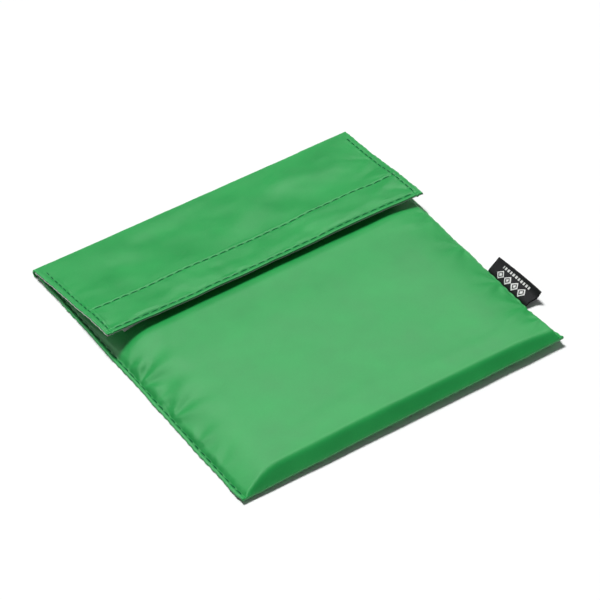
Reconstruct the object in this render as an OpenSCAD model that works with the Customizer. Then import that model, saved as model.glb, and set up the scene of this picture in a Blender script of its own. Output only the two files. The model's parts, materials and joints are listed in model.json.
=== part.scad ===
// Reusable food pouch: a lined cloth envelope lying flat on its back panel.
// A fold-over flap closes the mouth with hook-and-loop tape.
// X runs along the flap's edge, Y from the bottom fold to the crest fold, Z up.
// The origin is the middle of the back panel's underside. Units are millimetres.

/* [Pouch] */
// Width over the side seams
pouch_w = 180; // [160:1:200]
// Length from the bottom fold to the crest fold
pouch_l = 180; // [170:1:210]
// Height of the plumped front panel above the table
plump_h = 9.2; // [8.9:0.1:9.3]
// Height that the bottom fold is lifted off the table
fold_lift = 3.6; // [2.5:0.1:4]
// Distance from the crest fold to the mouth's edge
mouth_inset = 10.5; // [10.5:0.5:12]
// Height of the mouth's edge above the table
mouth_h = 2.5; // [2.5:0.05:2.6]

/* [Flap] */
// Depth of the flap, from the crest fold to its front edge
flap_depth = 66.8; // [65:0.2:68]
// Height of the flap's front edge above the table
flap_h = 12.4; // [12.3:0.1:13]
// Outer radius of the crest fold
crest_r = 2.1; // [2:0.05:2.2]

/* [Cloth] */
// Thickness of the outer cloth
cloth_t = 0.3; // [0.2:0.05:0.35]
// Thickness of the lining film
film_t = 0.2; // [0.15:0.05:0.2]
// Thickness of the two turned-in layers along a sewn edge
turned_t = 0.4; // [0.3:0.05:0.4]
// Width of the turned-in layers
turned_w = 8; // [6:0.5:9]
// Width of the flat sewn edge at each side of the pouch
seam_w = 2.55; // [2.4:0.05:2.8]
// Thickness of the flat sewn edge at each side of the pouch
seam_t = 1.2; // [1.2:0.05:1.3]

/* [Tape] */
// Width of the hook tape and of the loop tape
tape_w = 20; // [16:1:25]
// Width of the plain selvedge at each side of a tape
selvedge_w = 1.8; // [1.6:0.1:2.2]
// Thickness of a tape's woven base
tape_base_t = 0.4; // [0.3:0.05:0.45]
// Height of the loop pile over its base
pile_t = 0.6; // [0.5:0.05:0.6]
// Height of the hooks over their base
hook_t = 0.7; // [0.6:0.05:0.7]

/* [Thread] */
// Radius of the sewing thread
thread_r = 0.22; // [0.15:0.01:0.24]
// Length of one stitch along the long rows
stitch_pitch = 5; // [4:0.1:6]
// Length of one stitch along the flap's sides
side_pitch = 3.8; // [3:0.1:5]
// Gap between neighbouring stitches, where the thread dips into the cloth
stitch_gap = 0.8; // [0.6:0.1:1.2]

/* [Label] */
// Width of the woven label along the seam
label_w = 30; // [20:1:40]
// Length that the folded label stands out of the seam
label_reach = 9.4; // [7:0.2:12]
// Distance from the pouch's middle to the label's middle, towards the bottom fold
label_offset = 45.7; // [30:0.1:55]
// Upward tilt of the label
label_tilt = 33; // [30:1:40]

/* [Hidden] */
$fn = 32;

cloth_green = "mediumseagreen";
film_white = "whitesmoke";
thread_green = "seagreen";
tape_white = "white";
label_black = "#202022";

// Spacing between layers of one body
layer_gap = 0.05;

half_w = pouch_w / 2;
half_l = pouch_l / 2;

// Gap between two bodies where the cloth strip is cut into panels
cut_gap = 0.15;

// Bottom fold: where the cloth strip turns from the back panel into the front panel.
// Angles run round the fold, from +Y towards +Z.
fold_r = 0.8;
fold_y = -half_l + fold_r;
fold_z = fold_lift + seam_t / 2;
fold_open_angles = [60, 300];
lift_run = 17;
panel_start_y = fold_y + fold_r + cut_gap;
lining_start_y = panel_start_y + 2.4;

// Crest fold: the flap's hinge line
crest_y = half_l - crest_r;
crest_z = crest_r;
crest_open_angles = [93, 255];
// The back panel's cloth stops this far before the crest line, its film a little earlier
back_panel_end_y = crest_y - 1.1;
back_lining_end_y = crest_y - 2;

// Front panel
panel_half_w = half_w - seam_w - cut_gap;
side_run = 10;
end_run = 12;
mouth_y = half_l - mouth_inset;
mouth_power = 1.6;
lining_half_w = panel_half_w - 2.4;
lining_drop = cloth_t + turned_t + 2 * layer_gap;
// Past the mouth's edge the back panel widens to the pouch's full width
shoulder_y = mouth_y + 0.7;

// Flap
flap_front_y = half_l - flap_depth;
flap_t = lining_drop + film_t;
lining_ring_r = crest_r - lining_drop;

// Tapes and the rows that sew them down
hook_front_y = flap_front_y + 1.5;
hook_rear_y = hook_front_y + tape_w;
hook_half_w = half_w - 3.5;
loop_front_y = hook_front_y + 3;
loop_rear_y = loop_front_y + tape_w;
loop_half_w = half_w - 12;
mouth_fall_y = hook_front_y - 2.7;
row_inset = 0.9;
seam_row_x = half_w - seam_w + 0.6;
flap_row_x = half_w - 3;
mouth_row_y = mouth_y - 3;
mouth_row_half = panel_half_w - side_run / 2;
// Side rows start this far behind the flap's front edge and stop this far before the crest line
flap_row_start = 3.5;
flap_row_end = 4;

// Play between a thread and the cloth under it, for each kind of row
seam_play = 0.08;
mouth_play = 0.06;
loop_play = 0.28;
cross_play = 0.09;
side_play = 0.12;

function clamp01(t) = min(max(t, 0), 1);
function crown(t) = sin(90 * clamp01(t));
function steps(from, to, count) = [for (i = [0:count]) from + (to - from) * i / count];
function joined(lists) = [for (list = lists) for (value = list) value];

// Height of the back panel's underside: flat, then rising to the bottom fold
function lift_z(y) = fold_lift * pow(clamp01((fold_y + lift_run - y) / lift_run), 2);

// Height of the front panel's top: plumped in the middle, low along both side seams and at the mouth
function end_rise(y) = crown((y - panel_start_y) / end_run);
function mouth_fall(y) = let (left = 1 - clamp01((y - mouth_fall_y) / (mouth_y - mouth_fall_y)))
    (mouth_h - seam_t + (plump_h - mouth_h) * pow(left, mouth_power)) / (plump_h - seam_t);
function side_rise(x) = crown((panel_half_w - abs(x)) / side_run);
front_z = function(x, y) lift_z(y) + seam_t
    + (plump_h - seam_t) * side_rise(x) * end_rise(y) * mouth_fall(y);

// Height of the flap's top: a plane that climbs from the crest fold to the front edge
flap_z = function(y) crest_z + crest_r
    + (flap_h - crest_z - crest_r) * (crest_y - y) / (crest_y - flap_front_y);

// Grid lines, closer together where the front panel bends
bend_steps = 8;
wide_grid = 40;
function grid_x(reach) = joined([
    steps(-reach, -panel_half_w + side_run, bend_steps), [-wide_grid, 0, wide_grid],
    steps(panel_half_w - side_run, reach, bend_steps)]);
function grid_y(from, to) = joined([
    steps(from, panel_start_y + end_run, bend_steps), [-wide_grid, 0], steps(mouth_fall_y, to, bend_steps)]);
flap_ys = [flap_front_y, crest_y];

// Closed sheet over a grid, between a top and a bottom height given as functions of x and y
module sheet(xs, ys, top, bottom) {
    nx = len(xs);
    ny = len(ys);
    function at(side, j, i) = (side * ny + j) * nx + i;
    points = [for (height = [top, bottom]) for (y = ys) for (x = xs) [x, y, height(x, y)]];
    faces = joined([
        [for (j = [0:ny - 2]) for (i = [0:nx - 2]) [at(0, j, i), at(0, j + 1, i), at(0, j + 1, i + 1)]],
        [for (j = [0:ny - 2]) for (i = [0:nx - 2]) [at(0, j, i), at(0, j + 1, i + 1), at(0, j, i + 1)]],
        [for (j = [0:ny - 2]) for (i = [0:nx - 2]) [at(1, j, i), at(1, j + 1, i + 1), at(1, j + 1, i)]],
        [for (j = [0:ny - 2]) for (i = [0:nx - 2]) [at(1, j, i), at(1, j, i + 1), at(1, j + 1, i + 1)]],
        [for (i = [0:nx - 2]) [at(1, 0, i), at(0, 0, i), at(0, 0, i + 1), at(1, 0, i + 1)]],
        [for (i = [0:nx - 2]) [at(1, ny - 1, i + 1), at(0, ny - 1, i + 1), at(0, ny - 1, i), at(1, ny - 1, i)]],
        [for (j = [0:ny - 2]) [at(1, j + 1, 0), at(0, j + 1, 0), at(0, j, 0), at(1, j, 0)]],
        [for (j = [0:ny - 2]) [at(1, j, nx - 1), at(0, j, nx - 1), at(0, j + 1, nx - 1), at(1, j + 1, nx - 1)]]
    ]);
    polyhedron(points, faces);
}

// Sheet that runs straight across from x0 to x1, under a top height given as a function of y
module strip(x0, x1, ys, top, thickness) {
    outline = joined([
        [for (y = ys) [y, top(y)]],
        [for (i = [len(ys) - 1:-1:0]) [ys[i], top(ys[i]) - thickness]]
    ]);
    translate([x0, 0, 0]) rotate([90, 0, 90]) linear_extrude(x1 - x0) polygon(outline);
}

// Round cloth fold along X over the pouch's width, open between two angles on the pouch's side
module fold_ring(y, z, outer_r, thickness, open_angles) {
    reach = 3 * outer_r;
    past = 1;
    edges = [for (angle = open_angles) [reach * cos(angle), reach * sin(angle)]];
    translate([-half_w, y, z]) rotate([90, 0, 90]) difference() {
        cylinder(h = pouch_w, r = outer_r);
        translate([0, 0, -past]) cylinder(h = pouch_w + 2 * past, r = outer_r - thickness);
        translate([0, 0, -past]) linear_extrude(pouch_w + 2 * past) polygon([
            [0, 0], edges[0], [-2 * reach, edges[0].y], [-2 * reach, edges[1].y], edges[1]]);
    }
}

// One straight length of thread from point a to point b
module thread(a, b) {
    run = b - a;
    translate(a) rotate([0, acos(run.z / norm(run)), atan2(run.y, run.x)])
        cylinder(h = norm(run), r = thread_r);
}

// Row of lockstitches along a path: needle thread over it, bobbin thread under the layers.
// over and under give the surface point at a distance along the row.
module stitch_row(length, pitch, over, under, clearance) {
    stand_off = [0, 0, thread_r + clearance];
    count = floor(length / pitch);
    start = (length - count * pitch + stitch_gap) / 2;
    for (i = [0:count - 1]) {
        from = start + i * pitch;
        to = from + pitch - stitch_gap;
        thread(over(from) + stand_off, over(to) + stand_off);
        thread(under(from) - stand_off, under(to) - stand_off);
    }
}

// ---- Cloth strip, cut at its two folds ----

module front_panel() {
    color(cloth_green) sheet(grid_x(panel_half_w), grid_y(panel_start_y, mouth_y),
        front_z, function(x, y) front_z(x, y) - cloth_t);
}

module back_panel() {
    top = function(y) lift_z(y) + cloth_t;
    lifted = steps(panel_start_y, fold_y + lift_run, bend_steps);
    color(cloth_green) {
        strip(-panel_half_w, panel_half_w, joined([lifted, [shoulder_y]]), top, cloth_t);
        strip(-half_w, half_w, [shoulder_y, back_panel_end_y], top, cloth_t);
    }
}

module bottom_fold() {
    color(cloth_green) fold_ring(fold_y, fold_z, fold_r, cloth_t, fold_open_angles);
}

module flap_panel() {
    color(cloth_green) {
        strip(-half_w, half_w, flap_ys, flap_z, cloth_t);
        fold_ring(crest_y, crest_z, crest_r, cloth_t, crest_open_angles);
    }
}

// ---- Lining film ----

module front_lining() {
    color(film_white) sheet(grid_x(lining_half_w), grid_y(lining_start_y, mouth_y),
        function(x, y) front_z(x, y) - lining_drop, function(x, y) front_z(x, y) - lining_drop - film_t);
}

module back_lining() {
    color(film_white) strip(-lining_half_w, lining_half_w,
        joined([steps(lining_start_y, fold_y + lift_run, bend_steps), [back_lining_end_y]]),
        function(y) lift_z(y) + cloth_t + layer_gap + film_t, film_t);
}

module flap_lining() {
    color(film_white) {
        strip(-half_w, half_w, flap_ys, function(y) flap_z(y) - lining_drop, film_t);
        fold_ring(crest_y, crest_z, lining_ring_r, film_t, crest_open_angles);
    }
}

// ---- Turned-in edges ----

// Flat sewn side edge; a groove underneath leaves this thickness and takes the bobbin thread
seam_groove_t = 0.6;
module seam_allowance(side) {
    groove = 0.35;
    inner = half_w - seam_w;
    top = function(y) lift_z(y) + seam_t;
    ys = joined([steps(fold_y + fold_r + 0.3, fold_y + lift_run, bend_steps), [mouth_y]]);
    color(cloth_green) mirror([side < 0 ? 1 : 0, 0, 0]) {
        strip(inner, seam_row_x - groove, ys, top, seam_t);
        strip(seam_row_x - groove, seam_row_x + groove, ys, top, seam_groove_t);
        strip(seam_row_x + groove, half_w, ys, top, seam_t);
    }
}
module left_seam_allowance() seam_allowance(-1);
module right_seam_allowance() seam_allowance(1);

module mouth_turned_edge() {
    drop = cloth_t + layer_gap;
    color(cloth_green) sheet(grid_x(lining_half_w), steps(mouth_y - turned_w, mouth_y, bend_steps / 2),
        function(x, y) front_z(x, y) - drop, function(x, y) front_z(x, y) - drop - turned_t);
}

module flap_turned_edges() {
    top = function(y) flap_z(y) - cloth_t - layer_gap;
    inner_y = flap_front_y + turned_w;
    side_ys = [inner_y, crest_y - flap_row_end];
    color(cloth_green) {
        strip(-half_w, half_w, [flap_front_y, inner_y], top, turned_t);
        strip(-half_w, turned_w - half_w, side_ys, top, turned_t);
        strip(half_w - turned_w, half_w, side_ys, top, turned_t);
    }
}

// ---- Closure ----

module hook_tape() {
    top = function(y) flap_z(y) - flap_t - layer_gap;
    color(tape_white) {
        strip(-hook_half_w, hook_half_w, [hook_front_y, hook_rear_y], top, tape_base_t);
        strip(-hook_half_w, hook_half_w, [hook_front_y + selvedge_w, hook_rear_y - selvedge_w],
            function(y) top(y) - tape_base_t, hook_t);
    }
}

module loop_tape() {
    edge = 0.1;
    pile_front = loop_front_y + selvedge_w;
    pile_rear = loop_rear_y - selvedge_w;
    ys = [loop_front_y, pile_front, pile_front + edge, pile_rear - edge, pile_rear, loop_rear_y];
    base = function(x, y) front_z(x, y) + layer_gap;
    pile = function(y) y > pile_front && y < pile_rear ? pile_t : 0;
    color(tape_white) sheet(grid_x(loop_half_w), ys,
        function(x, y) base(x, y) + tape_base_t + pile(y), base);
}

// ---- Label: a tape folded in half, so that it forms a flat loop along the seam ----

module label() {
    layer = 0.35;
    end_r = 0.95;
    root = 1.2;
    seam_play_x = 0.3;
    reach = label_reach - end_r;
    color(label_black) translate([half_w + seam_play_x, -label_offset - label_w / 2, seam_t])
        rotate([0, -label_tilt, 0]) {
            translate([0, 0, -end_r]) cube([root, label_w, 2 * end_r]);
            for (z = [-end_r, end_r - layer]) translate([root, 0, z]) cube([reach - root, label_w, layer]);
            translate([reach, label_w, 0]) rotate([90, 0, 0]) difference() {
                cylinder(h = label_w, r = end_r);
                translate([0, 0, -1]) cylinder(h = label_w + 2, r = end_r - layer);
                translate([-2 * end_r, -2 * end_r, -1]) cube([2 * end_r, 4 * end_r, label_w + 2]);
            }
        }
}

// ---- Thread ----

// Row along a side seam of the pouch
module seam_stitches(side) {
    from_y = fold_y + 2 * fold_r;
    point = function(s, z) let (y = from_y + s) [side * seam_row_x, y, lift_z(y) + z];
    color(thread_green) stitch_row(mouth_y - from_y, stitch_pitch,
        function(s) point(s, seam_t), function(s) point(s, seam_t - seam_groove_t), seam_play);
}
module stitches_seam_left() seam_stitches(-1);
module stitches_seam_right() seam_stitches(1);

// Row across the front panel at y, over raise of other layers and through the lining
module panel_stitches(y, reach, raise, clearance) {
    color(thread_green) stitch_row(2 * reach, stitch_pitch,
        function(s) [s - reach, y, front_z(s - reach, y) + raise],
        function(s) [s - reach, y, front_z(s - reach, y) - lining_drop - film_t], clearance);
}
module stitches_mouth() panel_stitches(mouth_row_y, mouth_row_half, 0, mouth_play);
module loop_stitches(y) panel_stitches(y, loop_half_w - row_inset, layer_gap + tape_base_t, loop_play);
module stitches_loop_front() loop_stitches(loop_front_y + row_inset);
module stitches_loop_rear() loop_stitches(loop_rear_y - row_inset);

// Row across the flap at y, down through the hook tape's selvedge
module flap_cross_stitches(y) {
    reach = hook_half_w - row_inset / 2;
    color(thread_green) stitch_row(2 * reach, stitch_pitch,
        function(s) [s - reach, y, flap_z(y)],
        function(s) [s - reach, y, flap_z(y) - flap_t - layer_gap - tape_base_t], cross_play);
}
module stitches_flap_front() flap_cross_stitches(hook_front_y + row_inset);
module stitches_flap_rear() flap_cross_stitches(hook_rear_y - row_inset);

// Row along a side edge of the flap
module flap_side_stitches(side) {
    from_y = flap_front_y + flap_row_start;
    point = function(s, drop) let (y = from_y + s) [side * flap_row_x, y, flap_z(y) - drop];
    color(thread_green) stitch_row(crest_y - flap_row_end - from_y, side_pitch,
        function(s) point(s, 0), function(s) point(s, flap_t), side_play);
}
module stitches_flap_left() flap_side_stitches(-1);
module stitches_flap_right() flap_side_stitches(1);

front_panel();
back_panel();
bottom_fold();
flap_panel();
front_lining();
back_lining();
flap_lining();
left_seam_allowance();
right_seam_allowance();
mouth_turned_edge();
flap_turned_edges();
hook_tape();
loop_tape();
label();
stitches_seam_left();
stitches_seam_right();
stitches_mouth();
stitches_loop_front();
stitches_loop_rear();
stitches_flap_front();
stitches_flap_rear();
stitches_flap_left();
stitches_flap_right();
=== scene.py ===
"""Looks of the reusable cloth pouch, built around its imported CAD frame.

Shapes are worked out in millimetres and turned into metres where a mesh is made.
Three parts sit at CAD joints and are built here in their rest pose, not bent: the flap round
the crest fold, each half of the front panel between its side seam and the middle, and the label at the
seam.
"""
import json
import math

import bpy
import numpy as np
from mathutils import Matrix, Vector


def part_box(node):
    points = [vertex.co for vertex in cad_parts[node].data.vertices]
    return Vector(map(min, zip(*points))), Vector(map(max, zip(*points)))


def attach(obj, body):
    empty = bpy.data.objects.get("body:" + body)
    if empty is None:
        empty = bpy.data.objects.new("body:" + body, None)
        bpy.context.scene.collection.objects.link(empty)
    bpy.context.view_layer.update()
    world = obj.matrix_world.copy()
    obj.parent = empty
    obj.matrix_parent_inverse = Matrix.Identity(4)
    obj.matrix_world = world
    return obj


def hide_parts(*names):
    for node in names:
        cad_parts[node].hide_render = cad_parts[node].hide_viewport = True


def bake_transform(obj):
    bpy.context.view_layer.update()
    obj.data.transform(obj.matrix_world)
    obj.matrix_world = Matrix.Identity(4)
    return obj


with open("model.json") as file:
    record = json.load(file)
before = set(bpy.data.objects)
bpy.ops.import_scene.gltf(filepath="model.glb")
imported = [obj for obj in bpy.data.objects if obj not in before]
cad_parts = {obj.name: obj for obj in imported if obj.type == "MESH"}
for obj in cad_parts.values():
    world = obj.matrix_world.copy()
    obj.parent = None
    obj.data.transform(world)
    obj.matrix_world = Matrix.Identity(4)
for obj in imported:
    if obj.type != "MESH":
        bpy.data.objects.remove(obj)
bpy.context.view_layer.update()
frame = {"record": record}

MM = 0.001


# ---- sizes, in mm

def box_mm(node):
    """Low and high corner of a CAD node's box."""
    low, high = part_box(node)
    return np.array(low) / MM, np.array(high) / MM


def middle(node, axis):
    """Middle of a CAD node's box along one axis."""
    low, high = box_mm(node)
    return (low[axis] + high[axis]) / 2


def hinge(name):
    """Place of a CAD joint."""
    found = next(j for j in frame["record"]["behaviour"]["joints"] if j["name"] == name)
    return [value / MM for value in found["pos_m"]]


flap_low, flap_high = box_mm("flap_panel")
panel_high = box_mm("front_panel")[1]
hook_low, hook_high = box_mm("hook_tape")
loop_low, loop_high = box_mm("loop_tape")
label_low, label_high = box_mm("label")
fold_low, fold_high = box_mm("bottom_fold")

# Outline and the two folds. The bottom fold's cloth reaches out to about BOTTOM_Y.
HALF_W = flap_high[0]
BOTTOM_Y = -HALF_W
CREST_Y, CREST_Z = hinge("flap_fold")[1:]
CREST_R = flap_high[1] - CREST_Y
FOLD_Y, FOLD_Z = hinge("mouth_gape")[1:]
FOLD_R = (fold_high[2] - fold_low[2]) / 2
LABEL_X, LABEL_Y, LABEL_Z = hinge("label_flex")

# Flap, and the front panel: plump as far as FALL_Y, then falling to its mouth
FLAP_FRONT = flap_low[1]
FLAP_H = flap_high[2]
MOUTH_Y = panel_high[1]
MOUTH_H = 2.5
PLUMP_H = panel_high[2]
PANEL_HALF = panel_high[0]
FALL_Y = hook_low[1] - 7.0
FALL_POWER = 1.6

# Length over which the back panel rises from the table to the bottom fold
LIFT_RUN = 19.0

# Thicknesses, and the widths of the edges that are turned in
CLOTH_T, FILM_T = 0.22, 0.18
STACK_T = 1.0
SEAM_T = 1.2
MOUTH_HEM = 8.0
BACK_HEM = 3.4
FLAP_HEM = 0.8

# Rows of stitches
SEAM_ROW = abs(middle("stitches_seam_right", 0))
FLAP_ROW = abs(middle("stitches_flap_right", 0))
FRONT_ROW = middle("stitches_flap_front", 1)
REAR_ROW = middle("stitches_flap_rear", 1)
MOUTH_ROW = middle("stitches_mouth", 1)
ROW_PITCH, SIDE_PITCH, STITCH_GAP = 5.0, 3.8, 0.75
ROW_START = FOLD_Y + 1.5
THREAD_R, SEAM_THREAD_R, UNDER_THREAD_R = 0.23, 0.29, 0.16

SIDES = (("left", -1), ("right", 1))


# ---- shape functions

def ease(t):
    """Smooth step from 0 to 1."""
    t = np.clip(t, 0, 1)
    return t * t * (3 - 2 * t)


def crown(t):
    """Rises steeply from 0 and levels off at 1."""
    return np.sin(np.pi / 2 * np.clip(t, 0, 1))


def soft_min(a, b, blend):
    """The smaller of two values, rounded where they cross."""
    h = np.clip(0.5 + 0.5 * (b - a) / blend, 0, 1)
    return b * (1 - h) + a * h - blend * h * (1 - h)


def bump(distance, width):
    """1 at no distance, and almost nothing beyond two widths."""
    return np.exp(-(distance / width) ** 2)


def noise(x, y, cell, seed):
    """Smooth noise from -1 to 1 whose patches are about one cell across, turned by its seed."""
    table = np.random.default_rng(seed).uniform(-1, 1, (64, 64))
    c, s = math.cos(0.6 + seed), math.sin(0.6 + seed)
    u, v = (x * c + y * s) / cell + 900.3, (y * c - x * s) / cell + 900.7
    i, j = np.floor(u).astype(int), np.floor(v).astype(int)
    a, b = ease(u - i), ease(v - j)

    def corner(di, dj):
        return table[(i + di) % 64, (j + dj) % 64]

    near = corner(0, 0) * (1 - a) + corner(1, 0) * a
    far = corner(0, 1) * (1 - a) + corner(1, 1) * a
    return near * (1 - b) + far * b


def ripples(along, across, cell, stretch, seed):
    """Noise drawn out across a seam, as small gathers are."""
    table = np.random.default_rng(seed).uniform(-1, 1, (256, 16))
    u, v = along / cell + 100.4, across / stretch + 3.2
    i, j = np.floor(u).astype(int), np.floor(v).astype(int)
    a, b = ease(u - i), ease(v - j)
    near = table[i % 256, j % 16] * (1 - a) + table[(i + 1) % 256, j % 16] * a
    far = table[i % 256, (j + 1) % 16] * (1 - a) + table[(i + 1) % 256, (j + 1) % 16] * a
    return near * (1 - b) + far * b


def pucker(x, y, at, folds, reach, height, phase=0.0):
    """Small folds that spread like a fan from one tight stitch."""
    far = np.hypot(x - at[0], y - at[1])
    angle = np.arctan2(y - at[1], np.abs(x - at[0]) + 0.2)
    return height * np.cos(folds * angle + phase) * far / 3 * np.exp(-(far / reach) ** 2)


def crease(x, y, at, angle, length, width):
    """One soft fold: 1 on its middle, fading along its length and across its width."""
    c, s = math.cos(math.radians(angle)), math.sin(math.radians(angle))
    along = (x - at[0]) * c + (y - at[1]) * s
    across = (y - at[1]) * c - (x - at[0]) * s
    return bump(along, length) * bump(across, width)


def pinch(along, pitch):
    """1 at each needle hole and -1 halfway between two holes."""
    return np.cos(2 * np.pi * along / pitch)


def sewn(distance, along, pitch, groove=0.26):
    """Height of cloth beside a row of stitches: a groove, puffed up a little at both sides."""
    line = groove * bump(distance, 0.42) * (1 + 0.28 * pinch(along, pitch))
    swell = 0.13 * bump(np.abs(distance) - 1.05, 0.6) * (1 - 0.6 * pinch(along, pitch))
    return swell - line


def near_side(x, width):
    """1 at the side edges and 0 where they are more than a width away."""
    return ease((np.abs(x) - HALF_W + width) / width)


# Bottom fold

def fold_height(x):
    """Height of the bottom fold's middle: lowest at the left, turned up at the right end."""
    across = x / HALF_W
    turned_up = np.clip((across - 0.7) / 0.3, 0, 1) ** 2
    return FOLD_Z + 0.2 - 2.1 * ((1 - across) / 2) ** 3 + 0.3 * turned_up


def lift(x, y):
    """Height of the pouch's underside over the table."""
    return (fold_height(x) - FOLD_R) * np.clip((FOLD_Y + LIFT_RUN - y) / LIFT_RUN, 0, 1) ** 2


def edge_wave(y, side):
    """How far the sewn side edge of the pouch strays outwards."""
    swing = noise(y, y * 0 + 11, 9, 6) * 0.28
    depth = np.where(side > 0, 0.10 + 0.13 * ease((-15 - y) / 30), 0.13)
    return swing - depth * (1 + noise(y, y * 0, 14, 22)) * pinch(y - ROW_START, ROW_PITCH)


# Front panel

PANEL_CREASES = [
    # place, angle, length, width, height
    ((-62, 12), 62, 14.0, 4.0, 0.30),
    ((-80, -62), 24, 7.0, 2.4, -0.25),
    ((76, 10), 168, 9.0, 2.6, 0.35),
    ((77, -68), 30, 9.0, 2.6, 0.30),
    ((-30, -71), 4, 26.0, 3.5, 0.18),
    ((44, -74), -3, 30.0, 3.5, 0.20),
]
PANEL_PUCKERS = [
    # place, folds, reach, height, phase
    ((-89, 9), 5, 10.0, 0.18, 2.4),
    ((-89, -2), 6, 15.0, 0.24, 0.4),
    ((-89, -16), 5, 9.0, 0.16, 1.9),
    ((-89, -29), 6, 14.0, 0.20, 2.9),
    ((-89, -49), 5, 11.0, 0.16, 0.9),
    ((-89, -67), 5, 8.0, 0.12, 2.0),
    ((88, 14), 6, 9.0, 0.16, 0.3),
    ((88, -14), 6, 10.0, 0.18, 2.2),
    ((88, -44), 7, 9.0, 0.20, 1.2),
    ((88, -64), 6, 9.0, 0.20, 2.8),
    ((88, -76), 6, 7.0, 0.18, 0.6),
]


def panel_top(x, y):
    """Top of the front panel, with the seams' grooves and the cloth's own small waves."""
    from_side = PANEL_HALF + 0.5 * (x > 0) - np.abs(x)
    rightness = ease(x / 80 + 0.5)
    near_corner = ease((-62 - y) / 18)
    steep = 0.10 + rightness * (0.40 + 0.22 * near_corner)
    top_run = 22 + 4 * rightness
    side_rise = steep * crown(from_side / 1.9) + (1 - steep) * crown(from_side / top_run)
    end_rise = crown((y - FOLD_Y + FOLD_R * 0.5) / (6.8 - 0.3 * x / HALF_W))
    rise = np.clip(soft_min(side_rise, end_rise, 0.30), 0, 1)
    left = np.clip(1 - (y - FALL_Y) / (MOUTH_Y - FALL_Y), 0, 1)
    ridge = np.where(y < FALL_Y, PLUMP_H, MOUTH_H + (PLUMP_H - MOUTH_H) * left ** FALL_POWER)
    dome = 1.0 * (1 - (x / HALF_W) ** 2) * ease((FALL_Y - y) / 30)
    base = lift(x, y) + SEAM_T + 0.17 * bump(y - FOLD_Y, 2.0)
    shape = base + (ridge + dome - base) * rise

    open_part = ease((FALL_Y + 6 - y) / 8)
    waves = 0.20 * noise(x, y, 30, 3) + 0.08 * noise(x, y, 15, 4) + 0.03 * noise(x, y, 6.5, 8)
    from_seam = np.clip(SEAM_ROW - np.abs(x), 0, None)
    gathers = 0.18 * ripples(y, np.abs(x), 4.4, 12, 31) * np.exp(-from_seam / 4.5)
    gathers *= ease(from_seam / 1.8) * ease((y - FOLD_Y) / 12)
    folds = sum(h * crease(x, y, at, a, l, w) for at, a, l, w, h in PANEL_CREASES)
    folds += sum(pucker(x, y, *values) for values in PANEL_PUCKERS) * ease(from_seam / 1.5)
    shape += (waves * rise + gathers + folds) * (0.25 + 0.75 * open_part)

    shape += sewn(np.abs(x) - SEAM_ROW, y - ROW_START, ROW_PITCH, 0.58)
    shape += 0.16 * ripples(y, x * 0, 5.0, 9, 12) * ease((np.abs(x) - SEAM_ROW + 3) / 2)
    shape += sewn(y - MOUTH_ROW, x, ROW_PITCH, 0.16) * rise
    return shape


# Flap

FLAP_CREASES = [
    # place, angle, length, width, height
    ((84, 60), 28, 7.0, 1.8, 0.38),
    ((81, 66), 150, 6.0, 1.6, -0.36),
    ((80, 53), 12, 8.0, 2.0, -0.42),
    ((83, 47), -24, 6.0, 1.6, 0.34),
    ((78, 38), 20, 9.0, 2.2, 0.40),
    ((82, 33), -30, 7.0, 1.8, -0.30),
    ((-80, 58), -16, 9.0, 2.4, 0.26),
    ((-60, 66), 10, 20.0, 6.0, -0.34),
    ((-48, 33), 12, 16.0, 3.2, 0.34),
    ((-20, 36), -7, 14.0, 3.0, -0.28),
    ((14, 32), 6, 16.0, 3.0, 0.30),
    ((38, 38), -10, 15.0, 3.0, -0.26),
    ((60, 31), 8, 12.0, 2.6, 0.30),
    ((12, 62), 24, 26.0, 6.0, 0.36),
    ((-14, 74), -12, 24.0, 5.0, -0.30),
    ((52, 70), -18, 20.0, 5.0, 0.34),
]


def flap_plane(y):
    """Height of the flat flap between the crest fold and its free edge."""
    climb = (CREST_Y - y) / (CREST_Y - FLAP_FRONT)
    return CREST_Z + CREST_R + (FLAP_H - CREST_Z - CREST_R) * climb


def crest_lift(x):
    """The crest fold stands highest at its left end and is pressed flatter at its right."""
    return 0.3 - 1.2 * np.clip((x + HALF_W) / 150, 0, 1) ** 0.8


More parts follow.
